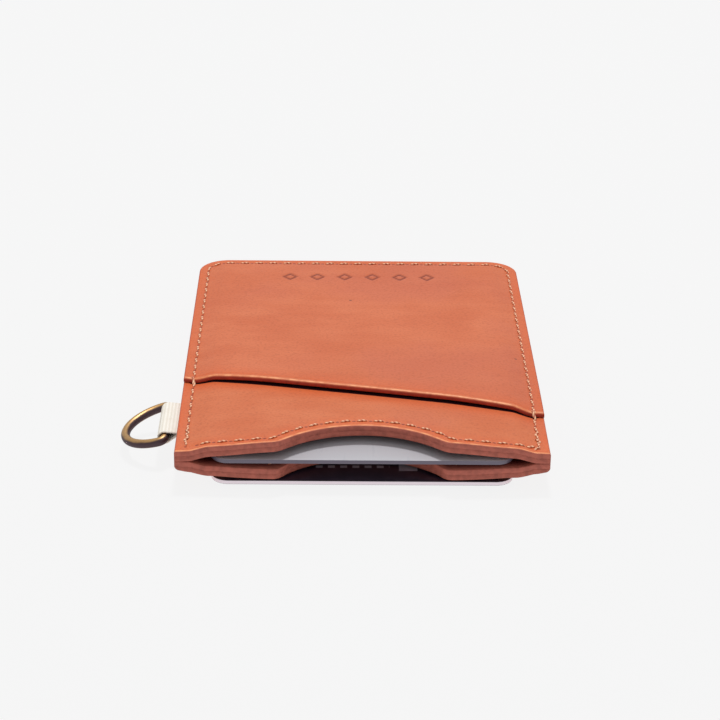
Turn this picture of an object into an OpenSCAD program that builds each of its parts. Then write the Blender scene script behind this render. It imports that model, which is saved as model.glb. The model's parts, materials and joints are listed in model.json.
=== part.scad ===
// Slim leather card sleeve: a centre slot between two laminated walls, a slanted pocket
// on each face, a thumb notch in the mouth, two cards, and a D-ring on a ribbon tab.
// Millimetres. +X runs across the sleeve, +Y from the mouth to the closed end, +Z up.
// The origin is on the flat underside that the sleeve rests on, rest_y behind the mouth.

/* [Body] */
// Width across the sleeve
body_w = 66.7; // [66.4:0.1:68]
// Length from the mouth to the closed end
body_l = 90; // [89.8:0.1:92]
// Radius of the two corners at the closed end
corner_r = 6.2; // [5:0.1:7]
// Thickness of one layer of leather
leather_t = 1; // [0.9:0.02:1]
// Height of the side seam above the table, at the mouth
seam_h = 6; // [5.95:0.01:6.3]
// How much lower the seam lies at the closed end
seam_fall = 1.1; // [1:0.05:1.1]

/* [Centre slot] */
// Gap between the walls where they hold a card
slot_gap = 1.2; // [1.1:0.05:1.3]
// Extra gap between the walls at the middle of the mouth
mouth_flare = 2; // [1.6:0.1:2]
// Share of the gap that lifts the front wall; the back wall sags by the rest
front_share = 0.45; // [0.44:0.01:0.5]

/* [Thumb notch] */
// Depth of the notch in both walls
notch_d = 7.2; // [6:0.1:8]
// Radius of the notch
notch_r = 18.9; // [16:0.1:20]
// Radius that rounds the two ends of the notch
notch_end_r = 2.6; // [2.4:0.1:4]

/* [Pockets] */
// Distance from the mouth to the middle of the slanted pocket edge
edge_mid = 21.4; // [20:0.1:24]
// How far the pocket edge climbs from one side to the other
edge_climb = 14.3; // [8:0.1:15]
// Height that the front pocket's edge bows open
pocket_bow = 0.75; // [0.4:0.05:1]

/* [Cards] */
// Width of a card
card_w = 53.98; // [53.9:0.02:54.04]
// Length of a card
card_l = 85.6; // [85.4:0.05:85.7]
// Thickness of a card
card_t = 0.76; // [0.5:0.02:0.76]
// Corner radius of a card
card_r = 3.18; // [3:0.01:3.5]

/* [Ribbon and ring] */
// Width of the ribbon
ribbon_w = 12.4; // [10:0.1:12.4]
// Thickness of the ribbon
ribbon_t = 0.4; // [0.3:0.02:0.4]
// Distance from the mouth to the middle of the ribbon
ribbon_y = 16.5; // [15:0.1:18]
// Diameter of the ring's wire
wire_d = 1.66; // [1.5:0.02:1.7]
// Half the length of the ring along its straight bar, to the middle of the wire
ring_half = 7.35; // [7.35:0.05:8]
// Distance from the bar to the far side of the ring, to the middle of the wire
ring_reach = 7.9; // [7.6:0.1:9]
// Angle that the ring hangs below level
ring_droop = 16.5; // [10:0.5:20]

/* [Stitching] */
// Distance from one stitch to the next
stitch_pitch = 3; // [2.5:0.1:4]
// Length of thread that shows in one stitch
stitch_len = 2.1; // [1.6:0.1:2.3]
// Width of the thread
thread_w = 0.5; // [0.4:0.05:0.6]
// Height that the thread stands proud
thread_h = 0.3; // [0.2:0.02:0.3]
// Distance from the sides and the closed end to the seam
seam_in = 1.9; // [1.8:0.05:2]
// Distance from the mouth edge to its row of stitches
mouth_in = 2.2; // [2:0.1:2.6]

/* [Hidden] */

$fn = 64;
hair = 0.02;                    // clearance that keeps laid pieces from sharing a face
half_w = body_w / 2;
rest_y = 50;                    // from the mouth to the origin
margin = 2.5;                   // width of the flat sewn border
fold_in = 6.2;                  // from the side to where the slots reach their full depth
end_ramp = 1.6;                 // run over which the slots close at the closed end
flare_run = 17;                 // run over which the mouth opens, from the border inwards
bow_run = 14;                   // the same for the bowed edge of a pocket
pocket_slack = 0.08;            // gap under a pocket where nothing bows it
edge_s = 0.2;                   // share of the pocket edge's climb that follows a sine
belly_trim = 0.05;              // leather taken off to leave one flat rest face
card_clear = 0.1;               // gap under the back card
seam_tilt = atan(-seam_fall / body_l);

// Centre card: how far its underside lies below the seam, at the mouth and at its far end
card_dip_mouth = 0.75;
card_dip_end = 0.44;
card_tilt = atan((card_dip_mouth - card_dip_end) / card_l - seam_fall / body_l);

// Thumb notch: where the arc, its rounded ends and the straight edge meet
notch_cy = notch_d - notch_r;
notch_x2 = sqrt(pow(notch_r + notch_end_r, 2) - pow(notch_end_r - notch_cy, 2));
notch_x1 = notch_x2 * notch_r / (notch_r + notch_end_r);
notch_turn = asin(notch_x2 / (notch_r + notch_end_r));

// Ring: the bar lies in the ribbon's fold, beside the left edge
bar_x = -half_w - 2.45;
bar_z = seam_h - 0.9;
ring_corner_r = 1;
ring_arc_u = ring_reach - ring_half;
ring_bar_half = sqrt(pow(ring_half - ring_corner_r, 2) - pow(ring_corner_r - ring_arc_u, 2));
ring_corner_a = atan2(ring_bar_half, ring_corner_r - ring_arc_u);
corner_lap = 2;                 // degrees that each corner laps over the bar and the arc
bar_clear = 0.1;                // gap between the bar and the ribbon's fold
fold_steps = 24;                // flats round the ribbon's fold
fold_r = wire_d / 2 + bar_clear;
tail_len = 3;                   // ribbon caught between the linings
recess = 0.1;                   // gap round the ribbon's tails

// Grid lines across the sleeve, from the middle out, and along it, as shares of each run
half_cols = [
  0, 4, 7.5, 10, notch_x1, (notch_x1 + notch_x2) / 2, notch_x2, 19, 23,
  half_w - fold_in, half_w - 4.3, half_w - margin, half_w - 1.3, half_w - 0.5, half_w - 0.1, half_w
];
last_col = len(half_cols) - 1;
cols = concat([for (i = [last_col:-1:1]) -half_cols[i]], half_cols);
rows = [0, 0.12, 0.3, 0.6, 1];

function clamp01(v) = min(1, max(0, v));
function ease(v) = 1 - pow(1 - clamp01(v), 2);
function mix(a, b, t) = a + (b - a) * t;
function side_gap(x) = half_w - abs(x);

// ---- outline, as distances from the mouth ----

// Mouth edge of both walls, with the thumb notch
function mouth_y(x) =
  abs(x) < notch_x1 ? notch_cy + sqrt(pow(notch_r, 2) - x * x)
  : abs(x) < notch_x2 ? notch_end_r - sqrt(pow(notch_end_r, 2) - pow(notch_x2 - abs(x), 2))
  : 0;

// Slanted edge of a pocket; side is 1 on the front and -1 on the back
function edge_y(x, side) =
  let (u = side * x / half_w)
  edge_mid - edge_climb / 2 * ((1 - edge_s) * u + edge_s * sin(90 * u));

// Closed end, with its two rounded corners
function end_y(x) =
  let (c = max(0, abs(x) - half_w + corner_r))
  body_l - corner_r + sqrt(max(0, pow(corner_r, 2) - c * c));

// ---- heights of the layers ----

function seam_z(y) = seam_h - seam_fall * y / body_l;

// Distance in from the sides and the closed end, round the corners too
function border_in(x, y) =
  let (cx = abs(x) - half_w + corner_r, cy = y - body_l + corner_r)
  cx > 0 && cy > 0 ? corner_r - norm([cx, cy]) : min(side_gap(x), body_l - y);

// 0 on the sewn border, 1 where a slot has its full depth
function depth_share(x, y) =
  clamp01((side_gap(x) - margin) / (fold_in - margin))
  * clamp01((body_l - margin - y) / end_ramp)
  * clamp01(border_in(x, y) - margin);

function slot_height(x, y) =
  slot_gap * depth_share(x, y)
  + mouth_flare * ease((side_gap(x) - margin) / flare_run) * pow(1 - y / body_l, 1.5);

function slot_roof(x, y) = seam_z(y) + front_share * slot_height(x, y);
function slot_floor(x, y) = seam_z(y) - (1 - front_share) * slot_height(x, y);

function pocket_gap(x, y) =
  let (y0 = edge_y(x, 1))
  pocket_slack * depth_share(x, y)
  + pocket_bow * ease((side_gap(x) - margin) / bow_run) * pow(clamp01(1 - (y - y0) / (body_l - y0)), 2)
  * clamp01((body_l - margin - y) / end_ramp);

function front_pocket_under(x, y) = slot_roof(x, y) + 2 * leather_t + pocket_gap(x, y);
function back_pocket_top(x, y) = mix(seam_z(y) - 2 * leather_t, leather_t, depth_share(x, y));

// ---- one layer of leather on the grid ----

// start(x) is its edge at the mouth side, low and high its two faces
function row_y(y0, x, j) =
  let (y1 = end_y(x))
  j < len(rows) ? mix(y0, y1 - margin - end_ramp, rows[j])
  : j == len(rows) ? y1 - margin
  : y1;

module sheet(start, low, high) {
  nr = len(rows) + 2;
  nc = len(cols);
  grid = [for (x = cols) for (j = [0:nr - 1]) [x, row_y(start(x), x, j)]];
  points = concat(
    [for (p = grid) [p.x, p.y, low(p.x, p.y)]],
    [for (p = grid) [p.x, p.y, high(p.x, p.y)]]
  );
  n = nc * nr;
  quads = [
    for (i = [0:nc - 2]) for (j = [0:nr - 2])
      [i * nr + j, i * nr + j + 1, (i + 1) * nr + j + 1, (i + 1) * nr + j]
  ];
  rim = concat(
    [for (i = [0:nc - 2]) i * nr],
    [for (j = [0:nr - 2]) (nc - 1) * nr + j],
    [for (i = [nc - 1:-1:1]) i * nr + nr - 1],
    [for (j = [nr - 1:-1:1]) j]
  );
  m = len(rim);
  faces = concat(
    [for (q = quads) for (t = [[0, 3, 2], [0, 2, 1]]) [q[t[0]], q[t[1]], q[t[2]]]],
    [for (q = quads) for (t = [[0, 1, 2], [0, 2, 3]]) [n + q[t[0]], n + q[t[1]], n + q[t[2]]]],
    [for (k = [0:m - 1]) let (a = rim[k], b = rim[(k + 1) % m]) each [[a, n + b, b], [a, n + a, n + b]]]
  );
  polyhedron(points, faces);
}

// The hand-in frame: the origin under the middle of the rest face
module placed() {
  translate([0, -rest_y, 0]) children();
}

// ---- leather ----

module front_lining() {
  color("#b4664a") placed() difference() {
    sheet(
      function (x) mouth_y(x),
      function (x, y) slot_roof(x, y),
      function (x, y) slot_roof(x, y) + leather_t
    );
    tail_recess();
  }
}

module front_panel() {
  color("#d77d5f") placed() sheet(
    function (x) mouth_y(x),
    function (x, y) slot_roof(x, y) + leather_t,
    function (x, y) slot_roof(x, y) + 2 * leather_t
  );
}

module front_pocket() {
  color("#d98163") placed() sheet(
    function (x) edge_y(x, 1),
    function (x, y) front_pocket_under(x, y),
    function (x, y) front_pocket_under(x, y) + leather_t
  );
}

module back_lining() {
  color("#b4664a") placed() difference() {
    sheet(
      function (x) mouth_y(x),
      function (x, y) slot_floor(x, y) - leather_t,
      function (x, y) slot_floor(x, y)
    );
    tail_recess();
  }
}

module back_panel() {
  color("#d77d5f") placed() sheet(
    function (x) mouth_y(x),
    function (x, y) slot_floor(x, y) - 2 * leather_t,
    function (x, y) slot_floor(x, y) - leather_t
  );
}

module back_pocket() {
  color("#d98163") placed() difference() {
    sheet(
      function (x) edge_y(x, -1),
      function (x, y) back_pocket_top(x, y) - leather_t - belly_trim * depth_share(x, y),
      function (x, y) back_pocket_top(x, y)
    );
    translate([-body_w, 0, -leather_t]) cube([2 * body_w, 2 * body_l, leather_t]);
  }
}

// ---- cards ----

module card() {
  r = card_r;
  linear_extrude(card_t) union() {
    translate([-card_w / 2 + r, 0]) square([card_w - 2 * r, card_l]);
    translate([-card_w / 2, r]) square([card_w, card_l - 2 * r]);
    for (x = [-card_w / 2 + r, card_w / 2 - r], y = [r, card_l - r]) {
      translate([x, y]) circle(r);
    }
  }
}

module centre_card() {
  color("#b4b4b9") placed() translate([0, 0, seam_h - card_dip_mouth]) rotate([card_tilt, 0, 0]) card();
}

module back_card() {
  color("#2b1f26") placed() translate([0, 0, leather_t + card_clear]) card();
}

// ---- ribbon and ring ----

// Space that the ribbon's tails take between the two linings
module tail_recess() {
  z = seam_z(ribbon_y);
  h = ribbon_t + recess;
  translate([-half_w - 1, ribbon_y - ribbon_w / 2 - recess, z - h]) {
    cube([tail_len + 1 + recess, ribbon_w + 2 * recess, 2 * h]);
  }
}

// Points round the fold at a radius, from where one straight run leaves it to the other
function fold_arc(radius) =
  let (
    to_seam = [-half_w - bar_x, seam_z(ribbon_y) - bar_z],
    aim = atan2(to_seam.y, to_seam.x),
    spread = acos(fold_r / norm(to_seam)),
    step = (360 - 2 * spread) / fold_steps
  )
  [for (i = [0:fold_steps]) [bar_x, bar_z]
    + radius * [cos(aim + spread + i * step), sin(aim + spread + i * step)]];

// Side view of the ribbon, from its fold round the bar to its two tails in the seam
module ribbon_profile() {
  z = seam_z(ribbon_y);
  tail_x = -half_w + tail_len;
  difference() {
    polygon(concat(
      [[tail_x, z - ribbon_t], [tail_x, z + ribbon_t], [-half_w, z + ribbon_t]],
      fold_arc(fold_r + ribbon_t),
      [[-half_w, z - ribbon_t]]
    ));
    polygon(concat([[-half_w, z]], fold_arc(fold_r)));
  }
}

module ribbon_loop() {
  color("#efe9dc") placed() translate([0, ribbon_y + ribbon_w / 2, 0]) {
    rotate([90, 0, 0]) linear_extrude(ribbon_w) ribbon_profile();
  }
}

// An arc of wire of diameter d round the local Z axis, from angle a through turn
module wire_arc(r, d, a, turn) {
  rotate([0, 0, a]) rotate_extrude(angle = turn) translate([r, 0]) circle(d = d);
}

// The ring in its own plane: the bar on the Y axis, the arc towards +X.
// The two corners are a hair thicker and lap over the bar and the arc.
module ring_flat() {
  slim_d = wire_d - hair;
  translate([0, ring_bar_half, 0]) rotate([90, 0, 0]) cylinder(d = slim_d, h = 2 * ring_bar_half);
  translate([ring_arc_u, 0, 0]) wire_arc(ring_half, slim_d, -ring_corner_a, 2 * ring_corner_a);
  for (side = [1, -1]) {
    start = side > 0 ? ring_corner_a : 180;
    translate([ring_corner_r, side * ring_bar_half, 0]) {
      wire_arc(ring_corner_r, wire_d, start - corner_lap, 180 - ring_corner_a + 2 * corner_lap);
    }
  }
}

module d_ring() {
  color("#8a6a45") placed() translate([bar_x, ribbon_y, bar_z]) {
    rotate([0, -ring_droop, 0]) rotate([0, 0, 180]) ring_flat();
  }
}

// ---- stitching ----

seam_corner_r = corner_r - seam_in;
seam_end_half = half_w - corner_r;
seam_corner_len = seam_corner_r * PI / 2;
seam_side_len = body_l - corner_r - mouth_in;
seam_stitches = floor((seam_end_half + seam_corner_len + seam_side_len - stitch_len / 2) / stitch_pitch);

// Side seam, measured from the middle of the closed end: [x, y, heading]
function seam_place(s) =
  s < 0 ? let (p = seam_place(-s)) [-p.x, p.y, -p.z]
  : s < seam_end_half ? [s, body_l - seam_in, 0]
  : s < seam_end_half + seam_corner_len
  ? let (a = (s - seam_end_half) / seam_corner_r * 180 / PI)
    [seam_end_half + seam_corner_r * sin(a), body_l - corner_r + seam_corner_r * cos(a), -a]
  : [half_w - seam_in, body_l - corner_r - (s - seam_end_half - seam_corner_len), -90];

mouth_arc_r = notch_r + mouth_in;
mouth_arc_len = mouth_arc_r * notch_turn * PI / 180;
mouth_end_r = notch_end_r - mouth_in;
mouth_end_len = mouth_end_r * notch_turn * PI / 180;
mouth_last_x = half_w - margin - stitch_len / 2;

// Mouth seam, measured from the middle of the notch: [x, y, heading]
function mouth_place(s) =
  s < 0 ? let (p = mouth_place(-s)) [-p.x, p.y, -p.z]
  : s < mouth_arc_len
  ? let (a = s / mouth_arc_r * 180 / PI) [mouth_arc_r * sin(a), notch_cy + mouth_arc_r * cos(a), -a]
  : s < mouth_arc_len + mouth_end_len
  ? let (a = notch_turn - (s - mouth_arc_len) / mouth_end_r * 180 / PI)
    [notch_x2 - mouth_end_r * sin(a), notch_end_r - mouth_end_r * cos(a), -a]
  : [notch_x2 + s - mouth_arc_len - mouth_end_len, mouth_in, 0];

mouth_stitches = floor((mouth_last_x - notch_x2 + mouth_arc_len + mouth_end_len) / stitch_pitch);

// One stitch lying on the sloping border; up is 1 on top and -1 underneath
module border_stitch(p, z, up) {
  translate([p.x, p.y, z + up * (thread_h / 2 + hair)]) rotate([seam_tilt, 0, 0]) rotate([0, 0, p.z]) {
    cube([stitch_len, thread_w, thread_h], center = true);
  }
}

module side_seam(up) {
  for (k = [-seam_stitches:seam_stitches]) {
    p = seam_place(k * stitch_pitch);
    over_pocket = p.y + stitch_len > edge_y(p.x, up);
    layers = over_pocket ? 3 : 2;
    border_stitch(p, seam_z(p.y) + up * layers * leather_t, up);
  }
}

// One stitch lying along a curved wall whose height is height(x, y)
module wall_stitch(p, height, up) {
  dx = cos(p.z) * stitch_len / 2;
  dy = sin(p.z) * stitch_len / 2;
  za = height(p.x - dx, p.y - dy);
  zb = height(p.x + dx, p.y + dy);
  crown = max(0, up * (height(p.x, p.y) - (za + zb) / 2));
  translate([p.x, p.y, (za + zb) / 2 + up * (thread_h / 2 + 1.5 * crown + hair)]) {
    rotate([0, 0, p.z]) rotate([0, -atan((zb - za) / stitch_len), 0]) {
      cube([stitch_len, thread_w, thread_h], center = true);
    }
  }
}

module mouth_seam(height, up, trim = 0) {
  for (k = [-mouth_stitches + trim:mouth_stitches - trim]) {
    wall_stitch(mouth_place(k * stitch_pitch), height, up);
  }
}

module side_seam_needle_thread() {
  color("#e0a888") placed() side_seam(1);
}

module side_seam_bobbin_thread() {
  color("#e0a888") placed() side_seam(-1);
}

module front_mouth_needle_thread() {
  color("#e0a888") placed() mouth_seam(function (x, y) slot_roof(x, y) + 2 * leather_t, 1);
}

module front_mouth_bobbin_thread() {
  color("#e0a888") placed() mouth_seam(function (x, y) slot_roof(x, y), -1, 1);
}

module back_mouth_needle_thread() {
  color("#e0a888") placed() mouth_seam(function (x, y) slot_floor(x, y) - 2 * leather_t, -1);
}

module back_mouth_bobbin_thread() {
  color("#e0a888") placed() mouth_seam(function (x, y) slot_floor(x, y), 1, 1);
}

front_pocket();
front_panel();
front_lining();
back_lining();
back_panel();
back_pocket();
centre_card();
back_card();
ribbon_loop();
d_ring();
side_seam_needle_thread();
side_seam_bobbin_thread();
front_mouth_needle_thread();
front_mouth_bobbin_thread();
back_mouth_needle_thread();
back_mouth_bobbin_thread();
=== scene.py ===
"""A minimalist leather card sleeve with a ribbon loop, a brass D-ring and two cards."""

import json
from math import acos, asin, atan2, ceil, cos, exp, hypot, pi, radians, sin, sqrt

import bmesh
import bpy
from mathutils import Matrix, Vector, noise


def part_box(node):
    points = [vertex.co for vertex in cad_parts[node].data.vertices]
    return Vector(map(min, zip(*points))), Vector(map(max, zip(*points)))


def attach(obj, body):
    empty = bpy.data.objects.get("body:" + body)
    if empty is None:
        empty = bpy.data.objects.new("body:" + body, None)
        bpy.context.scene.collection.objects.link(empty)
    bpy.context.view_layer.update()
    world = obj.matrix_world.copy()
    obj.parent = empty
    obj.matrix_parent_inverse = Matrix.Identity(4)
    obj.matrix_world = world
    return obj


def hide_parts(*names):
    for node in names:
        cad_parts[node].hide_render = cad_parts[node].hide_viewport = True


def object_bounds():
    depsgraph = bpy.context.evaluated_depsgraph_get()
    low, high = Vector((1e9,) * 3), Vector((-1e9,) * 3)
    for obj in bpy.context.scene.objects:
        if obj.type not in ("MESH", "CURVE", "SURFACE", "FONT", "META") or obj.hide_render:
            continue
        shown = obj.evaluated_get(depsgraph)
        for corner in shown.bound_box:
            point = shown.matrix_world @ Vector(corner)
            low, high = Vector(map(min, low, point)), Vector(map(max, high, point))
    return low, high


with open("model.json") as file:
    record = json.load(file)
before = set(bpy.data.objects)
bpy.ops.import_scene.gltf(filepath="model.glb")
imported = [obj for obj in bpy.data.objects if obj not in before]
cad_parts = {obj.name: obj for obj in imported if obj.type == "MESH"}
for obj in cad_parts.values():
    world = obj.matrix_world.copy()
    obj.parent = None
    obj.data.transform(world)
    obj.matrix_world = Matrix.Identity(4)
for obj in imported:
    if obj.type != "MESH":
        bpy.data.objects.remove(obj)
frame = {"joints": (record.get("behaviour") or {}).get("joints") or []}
cad_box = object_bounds()

# ---- sizes, in millimetres; along the sleeve they are measured from the mouth ----

MM = 0.001
panel_low, panel_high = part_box("front_panel")
HALF_W = panel_high.x / MM
BODY_L = (panel_high.y - panel_low.y) / MM
MOUTH_Y = panel_low.y / MM
CORNER_R = 6.2          # corners of the closed end
LEATHER = 1.0           # one layer's thickness

SEAM_H = 6.0            # height of the line where the two walls are sewn together
SEAM_FALL = 1.1         # how much lower that line is at the closed end
SLOT_GAP = 1.2          # gap that a card keeps between the walls
MOUTH_FLARE = 2.0       # how much further the walls part in the mouth
FRONT_SHARE = 0.45      # the front wall's share of the gap
MARGIN = 2.5            # sewn border, where the layers lie together
FOLD_IN = 6.2           # where a slot reaches its depth, in from the side
END_RAMP = 1.6          # run over which it does so at the closed end
FLARE_RUN = 17.0        # run over which the mouth opens, in from the border
SWAY = 0.09             # unevenness of the walls
SWAY_W = 21.0           # its size across the sleeve
SWAY_L = 26.0           # and along it
SWAY_SLICE = 3.1        # which slice of the noise is used

NOTCH_D = 7.25          # depth of the thumb notch
NOTCH_R = 18.9          # its radius
NOTCH_CY = NOTCH_D - NOTCH_R
NOTCH_END_R = 2.6       # radius that rounds its two ends
NOTCH_X = sqrt((NOTCH_R + NOTCH_END_R) ** 2 - (NOTCH_END_R - NOTCH_CY) ** 2)
NOTCH_JOIN_X = NOTCH_X * NOTCH_R / (NOTCH_R + NOTCH_END_R)
NOTCH_TURN = asin(NOTCH_X / (NOTCH_R + NOTCH_END_R))

EDGE_MID = 21.4         # the pocket's slanted edge, where it crosses the middle
EDGE_CLIMB = 14.3       # how much it slants from side to side
EDGE_SINE = 0.2         # share of a gentle S in it
POCKET_SLANT = cos(atan2(EDGE_CLIMB, 2 * HALF_W))
POCKET_BOW = 0.42       # gap under the edge
POCKET_SLACK = 0.08     # gap under the rest of the pocket
BOW_RUN = 14.0          # run over which the edge lifts, in from the border

STITCH_PITCH = 3.0
STITCH_LEN = 2.15
STITCH_SLANT = 0.14     # each stitch's turn off the seam, in radians
STITCH_RISE = 0.17      # how high the middle of a stitch lies on the leather
STITCH_DIVE = 0.26      # how far its ends go down
THREAD_W = 0.44
THREAD_H = 0.34
SEAM_IN = 1.9           # side seam, in from the cut
MOUTH_IN = 2.2          # mouth seam, in from the cut
MOUTH_ZONE = 20.0       # no mouth seam lies further in than this
SINK = 0.13             # depth of the dip along a seam
SINK_W = 0.6            # its width
SINK_REACH = 14.0       # how far from the mouth its seam can dip the leather

DROOP = 0.52            # how far the border hangs at the corners of the mouth
DROOP_LEN = 26.0        # how far along the sleeve it does so
LIP_GAPE = 0.3          # how far the linings part at the cut
CORNER_WEAR = 0.3       # leather worn off under the corners of the mouth
ROUND_X = 9.7           # where the back pocket's far corners start to round, from the side
ROUND_Y = 7.6           # and from the closed end

RIM_STEPS = [0, 0.04, 0.12, 0.25, 0.45]     # rows and columns that follow a rounded rim
THINNEST = 0.05         # least thickness of a layer on its under side's rims
CREASE_IN = 1.15        # creased line beside the pocket's edge
CREASE_DEPTH = 0.07
CREASE_W = 0.22

RIM_HIGHLIGHT_AT = 0.32           # painted highlight just inside a cut, where light would catch the rounded rim
RIM_HIGHLIGHT_W = 0.22
WARM_CUT = 6.0          # how far the deeper colour reaches in from a mouth or pocket edge
WARM_SIDE = 3.0         # from the sides
WARM_UNDER = 5.0        # and out from under the pocket, there as painted bounce light
UNSHADED_SIDE = 1.2       # border that the painted shade under the pocket doesn't reach
UNCOVERED = -50.0       # mark for leather that no pocket covers

MARKS = 6               # lozenges pressed into the pocket
MARK_PITCH = 5.7
MARK_IN = 11.0          # their distance from the closed end
MARK_HALF_W = 1.65
MARK_HALF_L = 2.05
MARK_LINE = 0.76        # where the line of a lozenge lies, as a share of its size
MARK_LINE_W = 0.36      # and its half width
MARK_DEPTH = 0.2


def clamp01(v):
    return min(1.0, max(0.0, v))


def smooth(v):
    v = clamp01(v)
    return v * v * (3 - 2 * v)


def ease(v):
    return 1 - (1 - clamp01(v)) ** 2


def place(x, y, z):
    """A point of the sleeve, in the frame's metres."""
    return Vector((x, y + MOUTH_Y, z)) * MM


def evenly(start, end, step):
    """Numbers from start to end, spaced evenly by step or a little less."""
    count = ceil((end - start) / step)
    return [start + (end - start) * i / count for i in range(count + 1)]


# ---- outline ----

def side_gap(x):
    return HALF_W - abs(x)


def mouth_edge(x):
    """The mouth's cut edge: straight, with a round notch in its middle."""
    x = abs(x)
    if x < NOTCH_JOIN_X:
        return NOTCH_CY + sqrt(NOTCH_R ** 2 - x * x)
    if x < NOTCH_X:
        return NOTCH_END_R - sqrt(NOTCH_END_R ** 2 - (NOTCH_X - x) ** 2)
    return 0.0


def mouth_seam_at(x, y):
    """How far a point lies along the mouth seam from its middle, and in from the mouth edge."""
    side = 1 if x >= 0 else -1
    x = abs(x)
    turn = atan2(x, y - NOTCH_CY)
    arc_len = (NOTCH_R + MOUTH_IN) * NOTCH_TURN
    end_len = (NOTCH_END_R - MOUTH_IN) * NOTCH_TURN
    if turn < NOTCH_TURN:
        return side * (NOTCH_R + MOUTH_IN) * turn, hypot(x, y - NOTCH_CY) - NOTCH_R
    if x < NOTCH_X:
        rest = atan2(NOTCH_X - x, NOTCH_END_R - y) if y < NOTCH_END_R else NOTCH_TURN
        along = arc_len + (NOTCH_END_R - MOUTH_IN) * (NOTCH_TURN - min(rest, NOTCH_TURN))
        return side * along, min(y, NOTCH_END_R - hypot(NOTCH_X - x, NOTCH_END_R - y))
    return side * (arc_len + end_len + x - NOTCH_X), y


def pocket_edge(x, side=1):
    """The slanted edge of the front pocket; with side -1, of the back one."""
    u = side * x / HALF_W
    return EDGE_MID - EDGE_CLIMB / 2 * ((1 - EDGE_SINE) * u + EDGE_SINE * sin(pi / 2 * u))


def closed_end(x):
    over = max(0.0, abs(x) - HALF_W + CORNER_R)
    return BODY_L - CORNER_R + sqrt(max(0.0, CORNER_R ** 2 - over ** 2))


def border_in(x, y):
    """Distance in from the sides and the closed end, round the corners too."""
    cx = abs(x) - HALF_W + CORNER_R
    cy = y - BODY_L + CORNER_R
    if cx > 0 and cy > 0:
        return CORNER_R - hypot(cx, cy)
    return min(side_gap(x), BODY_L - y)


def side_seam_at(x, y):
    """How far a point lies along the side seam from the middle of the closed end."""
    side = 1 if x >= 0 else -1
    cx = abs(x) - HALF_W + CORNER_R
    cy = y - BODY_L + CORNER_R
    corner_len = (CORNER_R - SEAM_IN) * pi / 2
    if cx > 0 and cy > 0:
        return side * (HALF_W - CORNER_R + (CORNER_R - SEAM_IN) * atan2(cx, cy))
    if BODY_L - y < side_gap(x):
        return x
    return side * (HALF_W - CORNER_R + corner_len - cy)


# ---- heights ----

def seam_height(y):
    return SEAM_H - SEAM_FALL * y / BODY_L


def depth_share(x, y):
    """0 on the sewn border, 1 where a slot has its full depth."""
    return (
        smooth((side_gap(x) - MARGIN) / (FOLD_IN - MARGIN))
        * smooth((BODY_L - MARGIN - y) / END_RAMP)
        * smooth(border_in(x, y) - MARGIN)
    )


def slot_height(x, y):
    flare = ease((side_gap(x) - MARGIN) / FLARE_RUN) * (1 - y / BODY_L) ** 1.5
    return SLOT_GAP * depth_share(x, y) + MOUTH_FLARE * flare


def sway(x, y):
    """The slight unevenness of a used sleeve, none of it on the sewn border."""
    return SWAY * noise.noise(Vector((x / SWAY_W, y / SWAY_L, SWAY_SLICE))) * depth_share(x, y)


def droop(x, y, hold, run):
    """How far a wall hangs at the corners of the mouth: all of it up to hold from the side."""
    return DROOP * (1 - smooth((side_gap(x) - hold) / run)) * (1 - smooth(y / DROOP_LEN))


def front_border(x, y):
    """Underside of the front wall along its sewn border."""
    return seam_height(y) - droop(x, y, 8, 12)


def back_border(x, y):
    """Top of the back wall along its sewn border."""
    return seam_height(y) - droop(x, y, 2, 6)


def lip_gape(x, y):
    """The linings part a little at the very mouth, outside the seam's end."""
    return LIP_GAPE * smooth((side_gap(x) - 0.4) / 4) * (1 - smooth(y / 2.2))


def slot_roof(x, y):
    """Underside of the front wall."""
    gap = slot_height(x, y) + lip_gape(x, y)
    return front_border(x, y) + FRONT_SHARE * gap + sway(x, y)


def slot_floor(x, y):
    """Top of the back wall."""
    return back_border(x, y) - (1 - FRONT_SHARE) * (slot_height(x, y) + lip_gape(x, y))


def pocket_gap(x, y):
    """Space under the front pocket, widest in the middle of its slanted edge."""
    start = pocket_edge(x)
    fade = clamp01(1 - (y - start) / (BODY_L - start)) ** 2
    bow = ease((side_gap(x) - MARGIN) / BOW_RUN) * fade * smooth((BODY_L - MARGIN - y) / END_RAMP)
    return POCKET_SLACK * depth_share(x, y) + POCKET_BOW * bow


def thread_sink(x, y):
    """How far the tight thread pulls the leather in along the seams."""
    sink = SINK * exp(-((border_in(x, y) - SEAM_IN) / SINK_W) ** 2) * smooth((y - 0.8) / 1.6)
    if side_gap(x) > MARGIN and y < SINK_REACH:
        sink = max(sink, SINK * exp(-((mouth_seam_at(x, y)[1] - MOUTH_IN) / SINK_W) ** 2))
    return sink


def front_panel_top(x, y):
    return slot_roof(x, y) + 2 * LEATHER - thread_sink(x, y)


def pocket_mark(x, y):
    """A row of small lozenge outlines pressed into the pocket beside the closed end."""
    k = round(x / MARK_PITCH + (MARKS - 1) / 2)
    if not 0 <= k < MARKS:
        return 0.0
    dx = abs(x - (k - (MARKS - 1) / 2) * MARK_PITCH)
    dy = abs(y - BODY_L + MARK_IN)
    reach = dx / MARK_HALF_W + dy / MARK_HALF_L
    return 1 - smooth(abs(reach - MARK_LINE) / MARK_LINE_W)


def front_pocket_top(x, y):
    crease_at = ((y - pocket_edge(x)) * POCKET_SLANT - CREASE_IN) / CREASE_W
    crease = CREASE_DEPTH * exp(-crease_at ** 2)
    top = slot_roof(x, y) + 3 * LEATHER + pocket_gap(x, y)
    return top - thread_sink(x, y) - crease - MARK_DEPTH * pocket_mark(x, y)


def corner_roll(x, y):
    """The under side is worn away a little at the corners of the mouth."""
    return CORNER_WEAR * (1 - smooth(side_gap(x) / 2.6)) * (1 - smooth(y / 9))


def back_panel_under(x, y):
    return slot_floor(x, y) - 2 * LEATHER + thread_sink(x, y) + corner_roll(x, y)


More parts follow.
